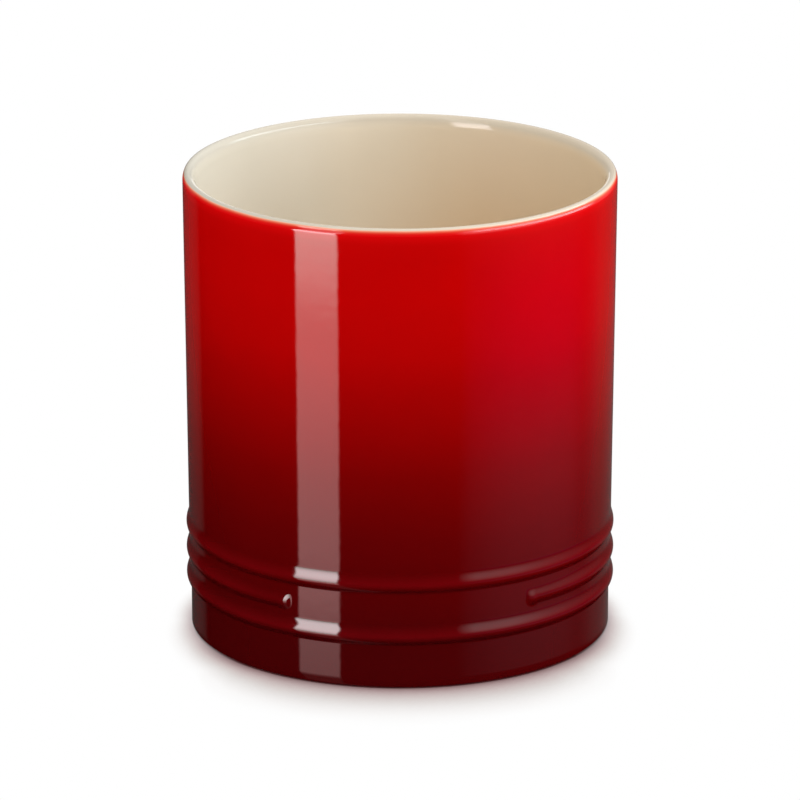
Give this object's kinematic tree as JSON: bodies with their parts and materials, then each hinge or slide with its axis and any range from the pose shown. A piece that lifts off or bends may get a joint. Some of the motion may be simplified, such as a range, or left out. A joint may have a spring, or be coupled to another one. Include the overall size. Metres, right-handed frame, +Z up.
{
  "type": "utensil crock",
  "caption": "Open round stoneware crock with straight sides, raised rings near the foot, a red outer glaze that darkens downwards and a cream glazed inside, for holding kitchen utensils.",
  "frame": {"origin": "middle of the foot ring, on the surface that the crock stands on", "axes": "+Z up along the crock's axis; -Y is the front, where the middle ring has its gap"},
  "size_m": [0.15, 0.15, 0.1634],
  "materials": {
    "bare_clay": "unglazed, matt",
    "red_glaze": "gloss",
    "cream_glaze": "gloss",
    "dark_glaze": "gloss"
  },
  "bodies": {
    "root": {"stoneware_body": "bare_clay", "exterior_glaze": "red_glaze", "interior_glaze": "cream_glaze", "underside_glaze": "dark_glaze"}
  },
  "joints": []
}
